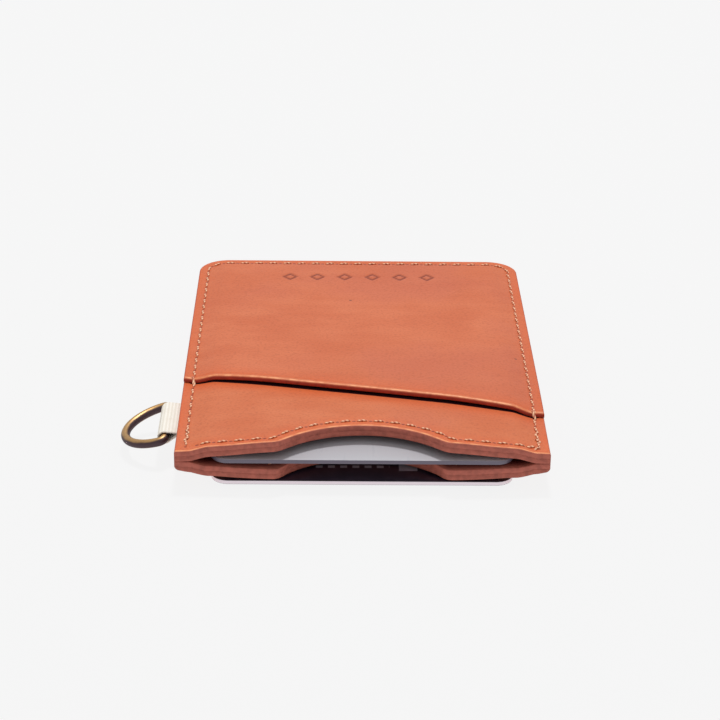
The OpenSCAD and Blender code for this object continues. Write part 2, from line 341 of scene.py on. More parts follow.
def back_pocket_share(x, y):
    """The back pocket's depth, its two far corners drawn up round."""
    across = clamp01((ROUND_X - side_gap(x)) / (ROUND_X - MARGIN))
    along = clamp01((ROUND_Y - BODY_L + y) / (ROUND_Y - MARGIN))
    return depth_share(x, y) * (1 - 0.5 * clamp01((3 * across * along) ** 3))


def back_pocket_top(x, y):
    share = back_pocket_share(x, y)
    return (back_border(x, y) - 2 * LEATHER) * (1 - share) + LEATHER * share


def back_pocket_under(x, y):
    return max(0.0, back_pocket_top(x, y) - LEATHER + thread_sink(x, y) * (1 - depth_share(x, y)))


# ---- closed sheets on a grid ----

def closed_sheet(name, n_cols, n_rows, point, notes=()):
    """A closed sheet: point(i, j, over) gives each place, notes(i, j) its named values."""
    bm = bmesh.new()
    bmesh.ops.create_grid(bm, x_segments=n_cols - 1, y_segments=n_rows - 1, size=1)
    bmesh.ops.solidify(bm, geom=bm.faces[:], thickness=0.1)
    middle = sum(v.co.z for v in bm.verts) / len(bm.verts)
    layers = [bm.verts.layers.float.new(note) for note in notes]
    for v in bm.verts:
        i = round((v.co.x + 1) / 2 * (n_cols - 1))
        j = round((v.co.y + 1) / 2 * (n_rows - 1))
        v.co, values = point(i, j, v.co.z > middle)
        for layer, value in zip(layers, values):
            v[layer] = value
    bmesh.ops.recalc_face_normals(bm, faces=bm.faces[:])
    return finished(name, bm)


def finished(name, bm):
    """A smooth-shaded object at the origin."""
    mesh = bpy.data.meshes.new(name)
    for face in bm.faces:
        face.smooth = True
    bm.to_mesh(mesh)
    bm.free()
    piece = bpy.data.objects.new(name, mesh)
    bpy.context.scene.collection.objects.link(piece)
    return piece


def only(geom, kind):
    """The points, edges or faces among what an operator made."""
    return [part for part in geom if isinstance(part, kind)]


def dress(piece, body, node, material):
    """Hangs a piece on its body, in place of its CAD node, with its finish."""
    piece.name = node + "_finished"
    piece.data.materials.append(material)
    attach(piece, body)
    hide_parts(node)
    return piece


# ---- leather ----

def side_columns():
    """Columns from one side to the other, close together on the rims, seams and corners."""
    gaps = RIM_STEPS + evenly(0.7, 3.7, 0.25) + evenly(4.05, CORNER_R, 0.36)
    left = [gap - HALF_W for gap in gaps]
    middle = evenly(CORNER_R - HALF_W, HALF_W - CORNER_R, 0.45)
    return left + middle[1:-1] + [-x for x in reversed(left)]


def rim_drop(d, r):
    """How much a rim rounded to radius r falls away at distance d from the cut."""
    return r - sqrt(max(0.0, r * r - (r - d) ** 2)) if d < r else 0.0


def seam_notes(x, y):
    """How far a point lies along the seam nearest to it, and how far off that seam."""
    off = abs(border_in(x, y) - SEAM_IN)
    mouth_along, mouth_in = mouth_seam_at(x, y) if y < MOUTH_ZONE else (0, MOUTH_ZONE)
    mouth_off = abs(mouth_in - MOUTH_IN)
    if mouth_off < off and side_gap(x) > MARGIN:
        return mouth_along, mouth_off
    return side_seam_at(x, y), off


def edge_notes(x, y, d_side, d_near, rim_w, pocketed):
    """What a layer's cuts and cover do to its colour: bare rim; deeper tone by the cuts, and as painted
    bounce light in front of a pocket's edge; a painted highlight just inside a near cut; painted shade
    under a pocket.
    """
    rim = 1 - smooth((min(d_side, d_near) - 0.03) / rim_w)
    # Painted highlight: a light line just inside a near cut.
    rim_highlight = exp(-((d_near - RIM_HIGHLIGHT_AT) / RIM_HIGHLIGHT_W) ** 2)
    warm = 1 - smooth(min(d_near / WARM_CUT, d_side / WARM_SIDE))
    if not pocketed:
        return rim, warm, rim_highlight, UNCOVERED
    # Painted bounce light: the deeper tone on the panel in front of the pocket's edge.
    warm = max(warm, 1 - smooth((pocket_edge(x) - y) / WARM_UNDER))
    # Painted shade: the distance past the pocket's edge, where the panel is painted near black.
    return rim, warm, rim_highlight, min(y - pocket_edge(x), d_side - UNSHADED_SIDE)


def row_places(start, near, far, step):
    """How many rows a layer has, and where row j crosses column x."""
    n_mid = ceil((BODY_L - start(0) - near[-1] - far[-1]) / step)
    n_rows = len(near) + n_mid + len(far)

    def row_y(x, j):
        y0 = start(x)
        y1 = closed_end(x)
        if j < len(near):
            return y0 + near[j]
        if j >= n_rows - len(far):
            return y1 - far[n_rows - 1 - j]
        share = (j - len(near) + 1) / (n_mid + 1)
        return (y0 + near[-1]) * (1 - share) + (y1 - far[-1]) * share

    return n_rows, row_y


def leather_layer(
    node, start, near, far, step, under, over, near_r, side_r, near_in,
    rim_w=0.2, pocketed=False, marked=False,
):
    """One cut layer between the heights under and over.

    start(x) is its edge nearest the mouth and near_in(x, y) the distance in from that edge.
    near_r and side_r are the radii of its lower and upper rims, there and at the sides.
    """
    cols = side_columns()
    n_rows, row_y = row_places(start, near, far, step)

    def point(i, j, top):
        x = cols[i]
        y = row_y(x, j)
        d_side = max(0.0, border_in(x, y))
        d_near = max(0.0, near_in(x, y))
        if top:
            z = over(x, y) - max(rim_drop(d_near, near_r[1]), rim_drop(d_side, side_r[1]))
        else:
            z = under(x, y) + max(rim_drop(d_near, near_r[0]), rim_drop(d_side, side_r[0]))
            z = min(z, over(x, y) - THINNEST)
        rim, warm, rim_highlight, behind = edge_notes(x, y, d_side, d_near, rim_w, pocketed)
        along, seam_off = seam_notes(x, y)
        pressed = pocket_mark(x, y) if top and marked else 0.0
        return place(x, y, z), (rim, warm, along, seam_off, rim_highlight, behind, pressed)

    notes = ("rim", "warm", "along", "seam_off", "rim_highlight", "behind", "pressed")
    return closed_sheet(node, len(cols), n_rows, point, notes)


def mouth_distance(x, y):
    return mouth_seam_at(x, y)[1]


def front_pocket_distance(x, y):
    return (y - pocket_edge(x)) * POCKET_SLANT


def back_pocket_distance(x, y):
    return (y - pocket_edge(x, -1)) * POCKET_SLANT


# Rows beside a layer's edges, as distances in from them
FINE_MOUTH = RIM_STEPS + evenly(0.7, 5.2, 0.3)
FINE_EDGE = RIM_STEPS + [0.65, 0.82, 0.98, 1.12, 1.26, 1.42, 1.6, 1.9, 2.3, 2.8, 3.4, 4.2]
FINE_END = RIM_STEPS + evenly(0.7, 13.9, 0.3)
PLAIN_END = RIM_STEPS + evenly(0.7, 4.3, 0.36)


def make_front_panel(material):
    piece = leather_layer(
        "front_panel", mouth_edge, FINE_MOUTH, PLAIN_END, 1.3,
        under=lambda x, y: slot_roof(x, y) + LEATHER, over=front_panel_top,
        near_r=(0.03, 0.18), side_r=(0.03, 0.3), near_in=mouth_distance, pocketed=True,
    )
    return dress(piece, "sleeve", "front_panel", material)


def make_front_lining(material):
    piece = leather_layer(
        "front_lining", mouth_edge, FINE_MOUTH, PLAIN_END, 2.6,
        under=slot_roof, over=lambda x, y: slot_roof(x, y) + LEATHER,
        near_r=(0.1, 0.03), side_r=(0.06, 0.03), near_in=mouth_distance, rim_w=1.2,
    )
    return dress(piece, "sleeve", "front_lining", material)


def make_front_pocket(material):
    piece = leather_layer(
        "front_pocket", pocket_edge, FINE_EDGE, FINE_END, 1.1,
        under=lambda x, y: slot_roof(x, y) + 2 * LEATHER + pocket_gap(x, y) - thread_sink(x, y),
        over=front_pocket_top,
        near_r=(0.3, 0.55), side_r=(0.05, 0.32), near_in=front_pocket_distance, marked=True,
    )
    return dress(piece, "sleeve", "front_pocket", material)


def make_back_lining(material):
    piece = leather_layer(
        "back_lining", mouth_edge, FINE_MOUTH, PLAIN_END, 2.6,
        under=lambda x, y: slot_floor(x, y) - LEATHER, over=slot_floor,
        near_r=(0.03, 0.1), side_r=(0.03, 0.06), near_in=mouth_distance, rim_w=2.2,
    )
    return dress(piece, "sleeve", "back_lining", material)


def make_back_panel(material):
    piece = leather_layer(
        "back_panel", mouth_edge, FINE_MOUTH, PLAIN_END, 1.3,
        under=back_panel_under, over=lambda x, y: slot_floor(x, y) - LEATHER,
        near_r=(0.16, 0.03), side_r=(0.95, 0.03), near_in=mouth_distance,
    )
    return dress(piece, "sleeve", "back_panel", material)


def make_back_pocket(material):
    piece = leather_layer(
        "back_pocket", lambda x: pocket_edge(x, -1), FINE_EDGE, PLAIN_END, 1.3,
        under=back_pocket_under, over=back_pocket_top,
        near_r=(0.4, 0.1), side_r=(0.7, 0.03), near_in=back_pocket_distance,
    )
    return dress(piece, "sleeve", "back_pocket", material)


# ---- stitching ----

def side_seam_place(s):
    """A point and heading on the side seam, s from the middle of the closed end."""
    side = 1 if s >= 0 else -1
    s = abs(s)
    straight = HALF_W - CORNER_R
    r = CORNER_R - SEAM_IN
    if s < straight:
        return side * s, BODY_L - SEAM_IN, 0.0
    turn = (s - straight) / r
    if turn < pi / 2:
        return side * (straight + r * sin(turn)), BODY_L - CORNER_R + r * cos(turn), -side * turn
    return side * (HALF_W - SEAM_IN), BODY_L - CORNER_R - (s - straight - r * pi / 2), -side * pi / 2


def mouth_seam_place(s):
    """A point and heading on the mouth seam, s from the middle of the notch."""
    side = 1 if s >= 0 else -1
    s = abs(s)
    r = NOTCH_R + MOUTH_IN
    end_r = NOTCH_END_R - MOUTH_IN
    if s < r * NOTCH_TURN:
        turn = s / r
        return side * r * sin(turn), NOTCH_CY + r * cos(turn), -side * turn
    s -= r * NOTCH_TURN
    if s < end_r * NOTCH_TURN:
        turn = NOTCH_TURN - s / end_r
        return side * (NOTCH_X - end_r * sin(turn)), NOTCH_END_R - end_r * cos(turn), -side * turn
    return side * (NOTCH_X + s - end_r * NOTCH_TURN), MOUTH_IN, 0.0


def add_stitch(bm, spot, length, height, up, twist, slant):
    """One stitch, a blunt bent grain of thread whose ends dive into the leather."""
    x, y, heading = spot
    heading += slant
    made = bmesh.ops.create_uvsphere(bm, u_segments=8, v_segments=6, radius=1)
    for v in made["verts"]:
        side, rise, along = v.co
        run = along * abs(along) ** -0.25 * length / 2 if along else 0.0
        off = side * THREAD_W / 2
        px = x + run * cos(heading) - off * sin(heading)
        py = y + run * sin(heading) + off * cos(heading)
        lift = rise * THREAD_H / 2 + STITCH_RISE - STITCH_DIVE * along ** 4
        v.co = place(px, py, height(px, py) + up * lift)
        v[twist] = run + 0.8 * off


def sew(node, spots, height, up, material, extra=()):
    """A run of stitches; extra holds tacks, each a spot, a length and a slant."""
    bm = bmesh.new()
    twist = bm.verts.layers.float.new("twist")
    for number, spot in enumerate(spots):
        wobble = 0.06 * sin(2.3 * number)
        add_stitch(bm, spot, STITCH_LEN, height, up, twist, STITCH_SLANT + wobble)
    for spot, length, slant in extra:
        add_stitch(bm, spot, length, height, up, twist, slant)
    return dress(finished(node, bm), "sleeve", node, material)


def seam_spots(seam_place, half_len):
    """Where a seam's stitches lie, counted both ways from its middle."""
    count = int(half_len / STITCH_PITCH)
    return [seam_place(k * STITCH_PITCH) for k in range(-count, count + 1)]


SIDE_HALF_LEN = (
    HALF_W - CORNER_R + (CORNER_R - SEAM_IN) * pi / 2
    + BODY_L - CORNER_R - MOUTH_IN - STITCH_LEN / 2
)
MOUTH_HALF_LEN = (
    HALF_W - MARGIN - STITCH_LEN / 2 - NOTCH_X + (NOTCH_R + NOTCH_END_R) * NOTCH_TURN
)


def onto_pocket(distance):
    """0 before a pocket's edge, 1 on the pocket, so that a seam ramps over the edge."""
    return smooth((distance + 0.35) / 0.6)


def front_outside(x, y):
    """Top of whichever layer is outermost on the front."""
    over = onto_pocket(front_pocket_distance(x, y))
    return front_panel_top(x, y) * (1 - over) + (front_pocket_top(x, y) * over if over else 0)


def back_outside(x, y):
    """The same on the back."""
    over = onto_pocket(back_pocket_distance(x, y))
    return back_panel_under(x, y) * (1 - over) + back_pocket_under(x, y) * over


def make_side_seams(material):
    """Both threads of the side seam; the needle's has back stitches at both ends and the pocket."""
    spots = seam_spots(side_seam_place, SIDE_HALF_LEN)
    x = HALF_W - SEAM_IN
    last_y = side_seam_place(SIDE_HALF_LEN // STITCH_PITCH * STITCH_PITCH)[1]
    tacks = [((side * x, last_y + 1.5, pi / 2), 1.9, 0.5 * side) for side in (-1, 1)]
    tacks += [((side * x, last_y + 4.4, pi / 2), 1.7, -0.45 * side) for side in (-1, 1)]
    tacks += [((side * x, pocket_edge(side * x) - 0.1, pi / 2), 2.3, 0.35) for side in (-1, 1)]
    sew("side_seam_needle_thread", spots, front_outside, 1, material, tacks)
    sew("side_seam_bobbin_thread", spots, back_outside, -1, material)


def make_mouth_seams(material):
    """Both threads of each mouth seam, with back stitches at the front one's right end."""
    spots = seam_spots(mouth_seam_place, MOUTH_HALF_LEN)
    end_x = HALF_W - MARGIN - STITCH_LEN / 2
    tacks = [
        ((end_x + 0.2, MOUTH_IN + 0.25, 0), 1.9, 0.5),
        ((end_x + 1.2, MOUTH_IN - 0.1, 0), 1.6, 1.0),
    ]
    sew("front_mouth_needle_thread", spots, front_panel_top, 1, material, tacks)
    sew("front_mouth_bobbin_thread", spots[1:-1], slot_roof, -1, material)
    sew("back_mouth_needle_thread", spots, back_panel_under, -1, material)
    sew("back_mouth_bobbin_thread", spots[1:-1], slot_floor, 1, material)


# ---- ribbon and ring ----

RIBBON_W = 12.4
RIBBON_T = 0.4
RIBBON_Y = 16.5         # its middle, from the mouth
TAIL_LEN = 3.0          # caught between the linings
RIB_PITCH = 0.62
RIB_RISE = 0.04
SELVEDGE_W = 0.3        # how gradually the ribbon thins to its woven edge
SELVEDGE_T = 0.35       # square of the share of its thickness left at the very edge
FOLD_STEP = 0.08        # turn from row to row of the fold, in radians
WIRE_R = 0.82
WIRE_SIDES = 20
BAR_ROOM = 0.1          # room between the bar and the fold
FOLD_R = WIRE_R + BAR_ROOM + RIBBON_T / 2
BAR_X = -HALF_W - 2.45
BAR_Z = SEAM_H - 0.9
RING_HALF = 7.35        # radius of the ring's round side
RING_REACH = 7.9        # its far point, from the bar
RING_DROOP = radians(16.5)
RING_CORNER_R = 1.0     # bends between the bar and the round side
CORNER_STEPS = 14
ROUND_STEPS = 96
BAR_STEP = 1.0          # from one ring of points to the next along the bar


def ribbon_path():
    """Middle line of the ribbon in side view: in from the seam, round the bar and back."""
    z = seam_height(RIBBON_Y)
    half = RIBBON_T / 2
    aim = atan2(z - BAR_Z, -HALF_W - BAR_X)
    spread = acos((FOLD_R - half) / hypot(z - BAR_Z, -HALF_W - BAR_X))
    turns = evenly(aim + spread, aim + 2 * pi - spread, FOLD_STEP)
    fold = [(BAR_X + FOLD_R * cos(a), BAR_Z + FOLD_R * sin(a)) for a in turns]
    tail = -HALF_W + TAIL_LEN
    return [(tail, z + half), (-HALF_W, z + half)] + fold + [(-HALF_W, z - half), (tail, z - half)]


def along_path(path, s):
    """Point and direction at a length along a line of straight steps."""
    for (x0, z0), (x1, z1) in zip(path, path[1:]):
        step = hypot(x1 - x0, z1 - z0)
        if s <= step or (x1, z1) == path[-1]:
            spot = x0 + (x1 - x0) * s / step, z0 + (z1 - z0) * s / step
            return *spot, (x1 - x0) / step, (z1 - z0) / step
        s -= step


def path_length(path):
    return sum(hypot(b[0] - a[0], b[1] - a[1]) for a, b in zip(path, path[1:]))


def make_ribbon(material):
    """The ribbon's loop, a folded sheet ribbed across its width."""
    path = ribbon_path()
    length = path_length(path)
    runs = evenly(0, length, RIB_PITCH / 6)
    selvedge = RIM_STEPS[:4]
    across = selvedge + evenly(0.5, RIBBON_W - 0.5, 0.6) + [RIBBON_W - d for d in selvedge[::-1]]

    def point(i, j, over):
        s = runs[i]
        x, z, dx, dz = along_path(path, s)
        off = across[j]
        edge = min(off, RIBBON_W - off)
        rib = RIB_RISE * (0.5 + 0.5 * cos(2 * pi * s / RIB_PITCH)) - RIB_RISE
        half = (RIBBON_T / 2 + rib) * sqrt(clamp01(SELVEDGE_T + edge / SELVEDGE_W))
        lift = half if over else -half
        y = RIBBON_Y - RIBBON_W / 2 + off
        return place(x - dz * lift, y, z + dx * lift), (s,)

    piece = closed_sheet("ribbon_loop", len(runs), len(across), point, ("run",))
    dress(piece, "sleeve", "ribbon_loop", material)
    return piece


def bar_tube(bm, half_len):
    """The ring's straight bar as an open tube; returns the rim at its far end."""
    start = bmesh.ops.create_circle(bm, segments=WIRE_SIDES, radius=WIRE_R)["verts"]
    bmesh.ops.rotate(bm, verts=start, matrix=Matrix.Rotation(pi / 2, 3, "X"))
    bmesh.ops.translate(bm, verts=start, vec=(0, -half_len, 0))
    made = bmesh.ops.extrude_edge_only(bm, edges=bm.edges[:])["geom"]
    bmesh.ops.translate(bm, verts=only(made, bmesh.types.BMVert), vec=(0, 2 * half_len, 0))
    return only(made, bmesh.types.BMEdge)


def add_bar_rings(bm, half_len):
    """Rings of points along the bar, to carry its painted highlight."""
    for y in evenly(-half_len, half_len, BAR_STEP)[1:-1]:
        geom = [f for f in bm.faces if max(v.co.x for v in f.verts) < WIRE_R + 0.01]
        geom += list({e for f in geom for e in f.edges}) + list({v for f in geom for v in f.verts})
        bmesh.ops.bisect_plane(bm, geom=geom, dist=0.0001, plane_co=(0, y, 0), plane_no=(0, 1, 0))


def make_ring(material):
    """The wire ring: a straight bar, then a spin round each bend back to its start."""
    arc_u = RING_REACH - RING_HALF
    bar_half = sqrt((RING_HALF - RING_CORNER_R) ** 2 - (RING_CORNER_R - arc_u) ** 2)
    corner = atan2(bar_half, RING_CORNER_R - arc_u)
    bm = bmesh.new()
    rim = bar_tube(bm, bar_half)
    bends = [
        ((RING_CORNER_R, bar_half, 0), pi - corner, CORNER_STEPS),
        ((arc_u, 0, 0), 2 * corner, ROUND_STEPS),
        ((RING_CORNER_R, -bar_half, 0), pi - corner, CORNER_STEPS),
    ]
    for centre, turn, steps in bends:
        spun = bmesh.ops.spin(
            bm, geom=rim, cent=centre, axis=(0, 0, -1), angle=turn, steps=steps, use_duplicate=False
        )
        rim = only(spun["geom_last"], bmesh.types.BMEdge)
    bmesh.ops.remove_doubles(bm, verts=bm.verts[:], dist=0.001)
    add_bar_rings(bm, bar_half)
    bmesh.ops.recalc_face_normals(bm, faces=bm.faces[:])
    # Height off the ring's plane, which places the brass's painted highlight.
    wear_and_sheen = bm.verts.layers.float.new("wear_and_sheen")
    for v in bm.verts:
        v[wear_and_sheen] = abs(v.co.z) / WIRE_R
    hang = Matrix.Rotation(-RING_DROOP, 4, "Y") @ Matrix.Rotation(pi, 4, "Z")
    move = Matrix.Scale(MM, 4) @ Matrix.Translation((BAR_X, RIBBON_Y + MOUTH_Y, BAR_Z)) @ hang
    bmesh.ops.transform(bm, matrix=move, verts=bm.verts[:])
    return dress(finished("d_ring", bm), "ring", "d_ring", material)


# ---- cards ----

CARD_T = 0.76
CARD_R = 3.18
CARD_RIM = 0.07         # softened arris


def make_card(node, slide, material):
    """A rounded card that lies along its slide, its near edge where the frame has it."""
    low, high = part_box(node)
    run = -Vector(slide).normalized()
    tilt = atan2(run.z, run.y)
    length = ((high.y - low.y) - CARD_T * MM * abs(sin(tilt))) / cos(tilt)
    bm = bmesh.new()
    bmesh.ops.create_grid(bm, x_segments=1, y_segments=1, size=0.5)
    bmesh.ops.scale(bm, vec=(high.x - low.x, length, 1), verts=bm.verts[:])
    bmesh.ops.bevel(
        bm, geom=bm.verts[:], offset=CARD_R * MM, offset_type="OFFSET", segments=12, profile=0.5,
        affect="VERTICES", material=-1,
    )
    top = bmesh.ops.extrude_face_region(bm, geom=bm.faces[:])["geom"]
    bmesh.ops.translate(bm, vec=(0, 0, CARD_T * MM), verts=only(top, bmesh.types.BMVert))
    bmesh.ops.recalc_face_normals(bm, faces=bm.faces[:])
    half_t = CARD_T * MM / 2
    rims = [e for e in bm.edges if abs(e.verts[0].co.z - e.verts[1].co.z) < half_t]
    bmesh.ops.bevel(
        bm, geom=rims, offset=CARD_RIM * MM, offset_type="OFFSET", segments=3, profile=0.5,
        affect="EDGES", material=-1,
    )
    cut_side = bm.verts.layers.float.new("cut_side")
    for v in bm.verts:
        v[cut_side] = 1.0 if 0.02 < v.co.z / (CARD_T * MM) < 0.98 else 0.0
    bmesh.ops.translate(bm, vec=(0, length / 2, 0), verts=bm.verts[:])
    bmesh.ops.rotate(bm, verts=bm.verts[:], matrix=Matrix.Rotation(tilt, 3, "X"))
    shift = Vector((0, low.y - min(v.co.y for v in bm.verts), low.z - min(v.co.z for v in bm.verts)))
    bmesh.ops.translate(bm, vec=shift, verts=bm.verts[:])
    return dress(finished(node, bm), node, node, material)


# ---- materials ----

class Value:
    """A number in a material; arithmetic on it adds Math nodes."""

    def __init__(self, graph, socket):
        self.graph = graph
        self.socket = socket

    def math(self, operation, *others):
        return self.graph.math(operation, self, *others)

    def __add__(self, other):
        return self.math("ADD", other)

    def __sub__(self, other):
        return self.math("SUBTRACT", other)

    def __rsub__(self, other):
        return self.graph.math("SUBTRACT", other, self)

    def __mul__(self, other):
        return self.math("MULTIPLY", other)

    def __truediv__(self, other):
        return self.math("DIVIDE", other)

    __radd__ = __add__
    __rmul__ = __mul__

    def abs(self):
        return self.math("ABSOLUTE")

    def over(self, low, high):
        """0 below low, 1 above high, smooth between."""
        node = self.graph.node(
            "ShaderNodeMapRange", {"interpolation_type": "SMOOTHSTEP"},
            {"Value": self, "From Min": low, "From Max": high},
        )
        return Value(self.graph, node.outputs["Result"])


class Finish:
    """A material and its node graph."""

    def __init__(self, name):
        self.material = bpy.data.materials.new(name)
        self.material.use_nodes = True
        self.tree = self.material.node_tree
        self.shader = self.tree.nodes["Principled BSDF"]
        self.where = self.node("ShaderNodeTexCoord").outputs["Object"]

    def node(self, kind, settings=None, sockets=None):
        node = self.tree.nodes.new(kind)
        for key, value in (settings or {}).items():
            setattr(node, key, value)
        for key, value in (sockets or {}).items():
            self.feed(node.inputs[key], value)
        return node

    def feed(self, socket, value):
        if isinstance(value, Value):
            value = value.socket
        if isinstance(value, bpy.types.NodeSocket):
            self.tree.links.new(value, socket)
        else:
            socket.default_value = value

    def math(self, operation, *values):
        node = self.node("ShaderNodeMath", {"operation": operation}, dict(enumerate(values)))
        return Value(self, node.outputs[0])

    def attribute(self, name):
        return Value(self, self.node("ShaderNodeAttribute", {"attribute_name": name}).outputs["Fac"])

    def stretched(self, scale):
        return self.node("ShaderNodeMapping", {}, {"Vector": self.where, "Scale": scale}).outputs[0]

    def noise(self, per_metre, detail=2.0, where=None):
        node = self.node(
            "ShaderNodeTexNoise", {},
            {"Vector": where or self.where, "Scale": per_metre, "Detail": detail},
        )
        return Value(self, node.outputs["Fac"])

    def cells(self, per_metre):
        node = self.node("ShaderNodeTexVoronoi", {}, {"Vector": self.where, "Scale": per_metre})
        return Value(self, node.outputs["Distance"])

    def axis(self, name):
        return Value(self, self.node("ShaderNodeSeparateXYZ", {}, {0: self.where}).outputs[name])

    def mix(self, share, first, second):
        """From the first colour to the second."""
        node = self.node("ShaderNodeMix", {"data_type": "RGBA"}, {0: share, 6: first, 7: second})
        return node.outputs[2]

    def bump(self, height, depth, strength=1.0):
        node = self.node(
            "ShaderNodeBump", {}, {"Height": height, "Distance": depth, "Strength": strength}
        )
        return node.outputs[0]

    def done(self, **sockets):
        for name, value in sockets.items():
            self.feed(self.shader.inputs[name.replace("_", " ")], value)
        return self.material


def colour(red, green, blue):
    """A screen colour from 0 to 255 as the linear colour that a shader takes."""
    def linear(v):
        v /= 255
        return v / 12.92 if v <= 0.04045 else ((v + 0.055) / 1.055) ** 2.4
    return linear(red), linear(green), linear(blue), 1.0


SPECK = colour(70, 40, 38)
GRAIN_DARK = colour(150, 70, 45)
PRESSED = colour(118, 42, 26)
# Painted shade inside the needle holes.
HOLE_SHADE = colour(122, 34, 18)
# Painted highlight on a rounded rim.
RIM_HIGHLIGHT = colour(246, 172, 118)
# Painted shade under and just in front of a pocket's edge.
PAINTED_POCKET_SHADE = colour(50, 22, 32)
HOLE_L = 0.13           # about half a pricked hole's length, as a share of the stitch pitch
HOLE_W = 0.28           # about half its width


def pricked_holes(f):
    """1 in the middle of each hole between two stitches."""
    phase = (f.attribute("along") / STITCH_PITCH).math("FRACT")
    off = f.attribute("seam_off") / HOLE_W
    return (((phase - 0.5) / HOLE_L).math("POWER", 2) + off.math("POWER", 2)).over(1.3, 0.25)


def leather_face(f, mottle, grain, holes, face, wear_and_sheen, warm, dusky):
    """The smooth side: mottled, clouded, deeper by its edges, with a painted highlight line at its cut.
    """
    streaks = f.noise(230, 3.0, f.stretched((0.3, 1, 1)))
    clouds = f.noise(34, 3.0).over(0.48, 0.66)
    deeper = f.attribute("warm") * (0.35 + 0.65 * f.noise(150)) * 0.95
    specks = f.cells(95).over(0.04, 0.015) * f.noise(40).over(0.56, 0.6)
    # Painted highlight along the rounded rim inside a near cut.
    rim_highlight = f.attribute("rim_highlight") * (0.35 + 0.6 * f.noise(700).over(0.35, 0.65))
    base = f.mix((mottle * 0.75 + streaks * 0.45).over(0.42, 0.8), face, wear_and_sheen)
    base = f.mix(clouds * 0.5, base, dusky)
    base = f.mix(deeper, base, warm)
    base = f.mix(specks * 0.7, base, SPECK)
    base = f.mix(grain.over(0.45, 0.75) * 0.3, base, GRAIN_DARK)
    base = f.mix(f.attribute("pressed"), base, PRESSED)
    # Painted shade in the needle holes between stitches.
    base = f.mix(holes * 0.8, base, HOLE_SHADE)
    return f.mix(rim_highlight, base, RIM_HIGHLIGHT)


def leather(name, face, wear_and_sheen, warm, dusky, cut):
    """Smooth vegetable-tanned leather with a bare cut rim and painted shade under a pocket."""
    f = Finish(name)
    mottle = f.noise(70, 4.0)
    grain = f.noise(2100, 3.0)
    pores = f.cells(1500)
    rim = f.attribute("rim")
    holes = pricked_holes(f)
    shaded_cut = tuple(0.7 * c for c in cut[:3]) + (1,)
    base = leather_face(f, mottle, grain, holes, face, wear_and_sheen, warm, dusky)
    base = f.mix(rim, base, f.mix(f.noise(900, 3.0).over(0.3, 0.75), cut, shaded_cut))
    # Painted shade: near black under and just in front of a pocket's edge.
    base = f.mix(f.attribute("behind").over(-0.34, -0.2), base, PAINTED_POCKET_SHADE)
    rough = 0.47 + 0.12 * (grain - 0.5) + 0.22 * rim + 0.06 * (mottle - 0.5)
    height = grain * 0.5 + pores * 0.35 + rim * f.noise(1300, 2.0) * 1.3 - holes
    return f.done(
        Base_Color=base, Roughness=rough, Normal=f.bump(height, 0.00006, 0.75), Specular_IOR_Level=0.32
    )


def thread(name):
    """Twisted sewing thread, tan, painted lighter on its plies and darker between them as highlight and
    shade.
    """
    f = Finish(name)
    twist = (f.attribute("twist") * 7.5).math("SINE")
    # Painted highlight on the plies and painted shade between them.
    base = f.mix(twist * 0.5 + 0.5, colour(186, 94, 62), colour(252, 204, 164))
    return f.done(
        Base_Color=base, Roughness=0.5 + 0.1 * f.noise(3000), Normal=f.bump(twist, 0.00006, 0.8)
    )


WARP_PITCH = 0.00024    # from thread to thread of the ribbon, in metres


def grosgrain(name):
    """Ribbed off-white ribbon: shaded between the ribs, fine warp threads over them."""
    f = Finish(name)
    rib = (f.attribute("run") * (2 * pi / RIB_PITCH)).math("COSINE")
    warp = (f.axis("Y") * (2 * pi / WARP_PITCH)).math("SINE")
    base = f.mix(rib * 0.5 + 0.5, colour(226, 219, 205), colour(241, 236, 226))
    base = f.mix(f.noise(400).over(0.45, 0.7) * 0.25, base, colour(218, 205, 188))
    return f.done(
        Base_Color=base, Roughness=0.75 + 0.05 * warp, Normal=f.bump(warp * 0.5 + rib * 0.3, 0.00004, 0.6)
    )


def antique_brass(name):
    """Brass with a dark patina and a painted highlight of bright brass along the top and under faces of
    the wire.
    """
    f = Finish(name)
    cloud = f.noise(420, 4.0)
    # Painted highlight: bright brass where the wire faces up or down from the ring's plane, dark patina
    # on its sides.
    lit_band = (f.attribute("wear_and_sheen") + cloud * 0.5).over(0.8, 1.22)
    base = f.mix(lit_band, colour(86, 70, 74), colour(200, 160, 108))
    scratches = f.noise(2600, 2.0, f.stretched((1, 0.15, 1)))
    return f.done(
        Base_Color=base, Metallic=1.0, Roughness=0.5 - 0.12 * lit_band + 0.08 * scratches,
        Normal=f.bump(cloud * 0.6 + scratches * 0.4, 0.00003, 0.5),
    )


def grey_card(name):
    """Satin grey plastic with a darker cut edge, a faint cloudiness and slight scuffs."""
    f = Finish(name)
    scuffs = f.noise(900, 3.0, f.stretched((1, 0.12, 1))).over(0.6, 0.72)
    base = f.mix(scuffs * 0.3, colour(176, 175, 180), colour(156, 156, 164))
    base = f.mix(f.noise(60).over(0.4, 0.7) * 0.25, base, colour(184, 183, 187))
    base = f.mix(f.attribute("cut_side"), base, colour(104, 96, 110))
    return f.done(
        Base_Color=base, Roughness=0.36 + 0.15 * scuffs, Normal=f.bump(f.noise(4000), 0.00001, 0.4)
    )


# The back card's stand-in for print, in metres: across from its middle, along from its near edge
PRINT_SOFT = 0.0001
DASHES_AT = (-0.0021, 0.0056)
DASHES_HALF = (0.007, 0.0004)
DASH_PITCH = 0.0022
BLOCK_AT = (0.0083, 0.0054)
BLOCK_HALF = (0.0016, 0.0013)
CORE_IN = 0.00006       # depth of the print's layer
CORE_SOFT = 0.00002


def printed_box(across, along, at, half):
    """1 inside a rectangle on the card."""
    wide = (across - at[0]).abs().over(half[0] + PRINT_SOFT, half[0])
    return wide * (along - at[1]).abs().over(half[1] + PRINT_SOFT, half[1])


